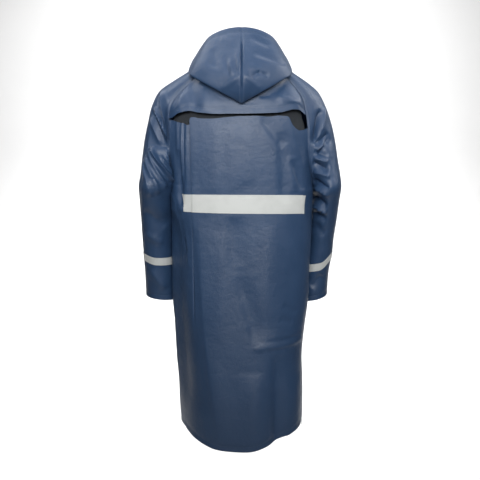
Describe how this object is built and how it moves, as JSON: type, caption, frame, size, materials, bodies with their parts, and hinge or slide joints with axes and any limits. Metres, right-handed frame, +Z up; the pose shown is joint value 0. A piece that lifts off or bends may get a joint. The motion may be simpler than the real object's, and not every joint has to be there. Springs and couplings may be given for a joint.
{
  "type": "hooded raincoat",
  "caption": "Long hooded raincoat in coated cloth, worn shape with no wearer: raglan sleeves, loose back cape over a mesh vent, side pleats, reflective bands, stud front.",
  "frame": {"origin": "middle of the base of the neck, level with the wearer's shoulders, where the coat hangs on them", "axes": "+Z up, +Y the way the wearer faces, so the back of the coat faces -Y and the wearer's right side is at +X"},
  "size_m": [0.571, 0.3276, 1.1471],
  "materials": {
    "coated_cloth": "navy coated cloth with a soft satin shine",
    "reflective_tape": "silver grey reflective fabric tape, fine grain",
    "dark_mesh": "matte near-black knitted mesh",
    "stud_metal": "satin nickel-plated press studs"
  },
  "bodies": {
    "root": {"back_panel": "coated_cloth", "back_cape": "coated_cloth", "front_left": "coated_cloth", "front_right": "coated_cloth", "sleeve_left": "coated_cloth", "sleeve_right": "coated_cloth", "hood_left": "coated_cloth", "hood_right": "coated_cloth", "vent_mesh": "dark_mesh", "back_band": "reflective_tape", "sleeve_band_left": "reflective_tape", "sleeve_band_right": "reflective_tape", "stud_1": "stud_metal", "stud_2": "stud_metal", "stud_3": "stud_metal", "stud_4": "stud_metal", "stud_5": "stud_metal", "stud_6": "stud_metal"}
  },
  "joints": []
}
